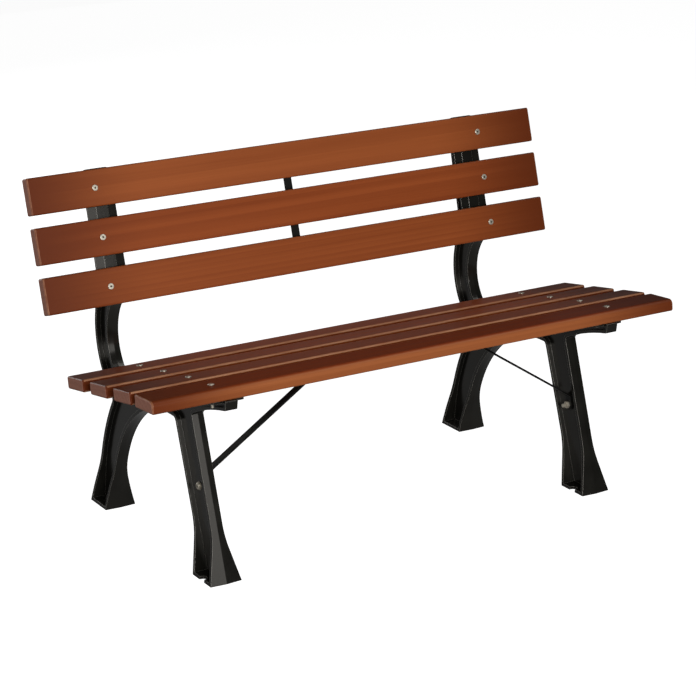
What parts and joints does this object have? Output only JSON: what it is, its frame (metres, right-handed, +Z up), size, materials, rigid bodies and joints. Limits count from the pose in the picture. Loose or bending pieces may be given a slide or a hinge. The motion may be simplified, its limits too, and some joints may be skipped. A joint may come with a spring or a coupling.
{
  "type": "garden bench",
  "caption": "Slatted wooden garden bench with a leaning back, on two cast side frames with splayed flared legs and diagonal braces.",
  "frame": {"origin": "on the floor, in the middle of the bench's length and depth", "axes": "+X along the slats to the right as seen from in front, +Y from the front to the rear, +Z up"},
  "size_m": [1.224, 0.6028, 0.7303],
  "materials": {
    "stained_wood": "semi-gloss reddish-brown stain",
    "cast_frame": "satin black paint",
    "strip_steel": "satin black paint",
    "zinc_fasteners": "bright zinc plating"
  },
  "bodies": {
    "root": {"left_side_frame": "cast_frame", "right_side_frame": "cast_frame", "seat_slat_front": "stained_wood", "seat_slat_second": "stained_wood", "seat_slat_third": "stained_wood", "seat_slat_rear": "stained_wood", "back_slat_lower": "stained_wood", "back_slat_middle": "stained_wood", "back_slat_upper": "stained_wood", "back_center_strap": "strip_steel", "seat_center_strap": "strip_steel", "left_brace": "strip_steel", "right_brace": "strip_steel", "seat_bolts": "zinc_fasteners", "seat_washers": "zinc_fasteners", "seat_nuts": "zinc_fasteners", "back_bolts": "zinc_fasteners", "back_washers": "zinc_fasteners", "back_nuts": "zinc_fasteners", "back_strap_screws": "zinc_fasteners", "seat_strap_screws": "zinc_fasteners", "brace_leg_bolts": "zinc_fasteners", "brace_leg_washers": "zinc_fasteners", "brace_leg_nuts": "zinc_fasteners", "brace_slat_screws": "zinc_fasteners"}
  },
  "joints": []
}
